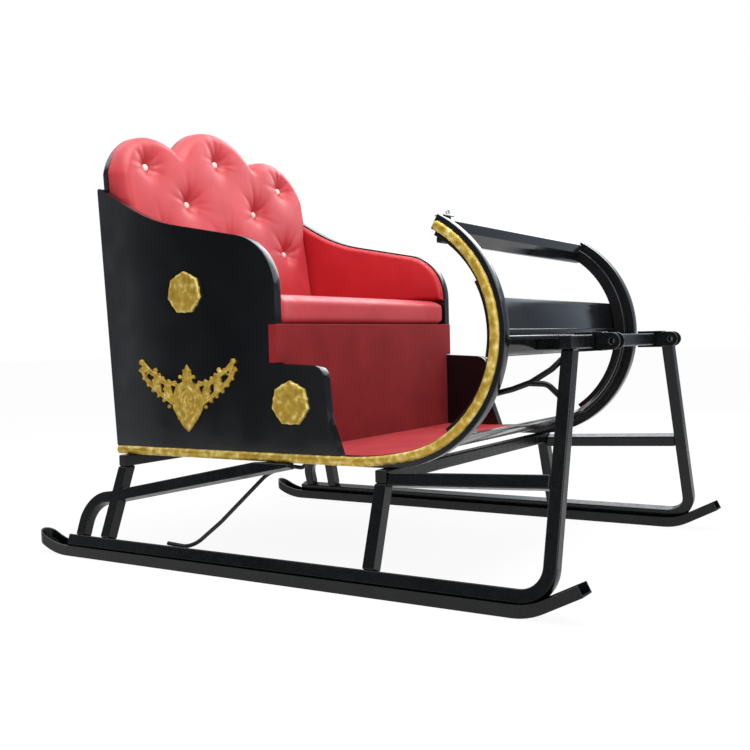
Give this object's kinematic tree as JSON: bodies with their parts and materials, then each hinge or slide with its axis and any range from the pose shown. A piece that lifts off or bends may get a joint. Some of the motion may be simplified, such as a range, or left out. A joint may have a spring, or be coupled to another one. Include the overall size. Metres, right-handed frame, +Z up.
{
  "type": "two-seat horse-drawn sleigh",
  "caption": "Two-seat horse sleigh: panelled tub with a curled front and gilt mouldings, buttoned seat, on a leaning tube frame with channel runners.",
  "frame": {"origin": "middle of the bounding box, on the ground under the runners", "axes": "+X towards the front, where the shafts join; +Y to the sleigh's left; +Z up"},
  "size_m": [1.832, 1.3, 1.4079],
  "materials": {
    "black_steel": "semi-gloss black paint on steel tube",
    "black_lacquer": "glossy black lacquer",
    "red_board": "red felt cloth on board",
    "red_carpet": "short red carpet",
    "red_leatherette": "soft red leatherette",
    "gold_paint": "gold paint on cast ornament",
    "cable_rubber": "black rubber cable sheath"
  },
  "bodies": {
    "root": {"back_board": "black_lacquer", "back_cushion": "red_leatherette", "base_tube_left": "black_steel", "base_tube_right": "black_steel", "dash_hoop_left": "black_lacquer", "dash_hoop_right": "black_lacquer", "dash_lip": "black_lacquer", "dash_lower_bar": "black_lacquer", "dash_mid_panel": "black_lacquer", "dash_top_board": "black_lacquer", "floor_carpet": "red_carpet", "floor_sheet": "black_lacquer", "forked_brace": "black_steel", "lead_cable": "cable_rubber", "mid_bearer": "black_steel", "mid_leg_left": "black_steel", "mid_leg_right": "black_steel", "rail_moulding_left": "gold_paint", "rail_moulding_right": "gold_paint", "rear_bearer": "black_steel", "rear_hoop_left": "black_steel", "rear_hoop_right": "black_steel", "rear_leg_left": "black_steel", "rear_leg_right": "black_steel", "rear_stay_left": "black_steel", "rear_stay_right": "black_steel", "rosette_lower_left": "gold_paint", "rosette_lower_right": "gold_paint", "rosette_upper_left": "gold_paint", "rosette_upper_right": "gold_paint", "runner_left": "black_steel", "runner_right": "black_steel", "seat_cushion": "red_leatherette", "seat_deck": "black_lacquer", "seat_front_board": "red_board", "shaft_arm_left": "black_steel", "shaft_arm_right": "black_steel", "shaft_bar": "black_steel", "shaft_coupler_left": "black_steel", "shaft_coupler_right": "black_steel", "side_bar_left": "black_steel", "side_bar_right": "black_steel", "side_pad_left": "red_leatherette", "side_pad_right": "red_leatherette", "side_rail_left": "black_lacquer", "side_rail_right": "black_lacquer", "side_wall_left": "black_lacquer", "side_wall_right": "black_lacquer", "swag_left": "gold_paint", "swag_right": "gold_paint"}
  },
  "joints": []
}
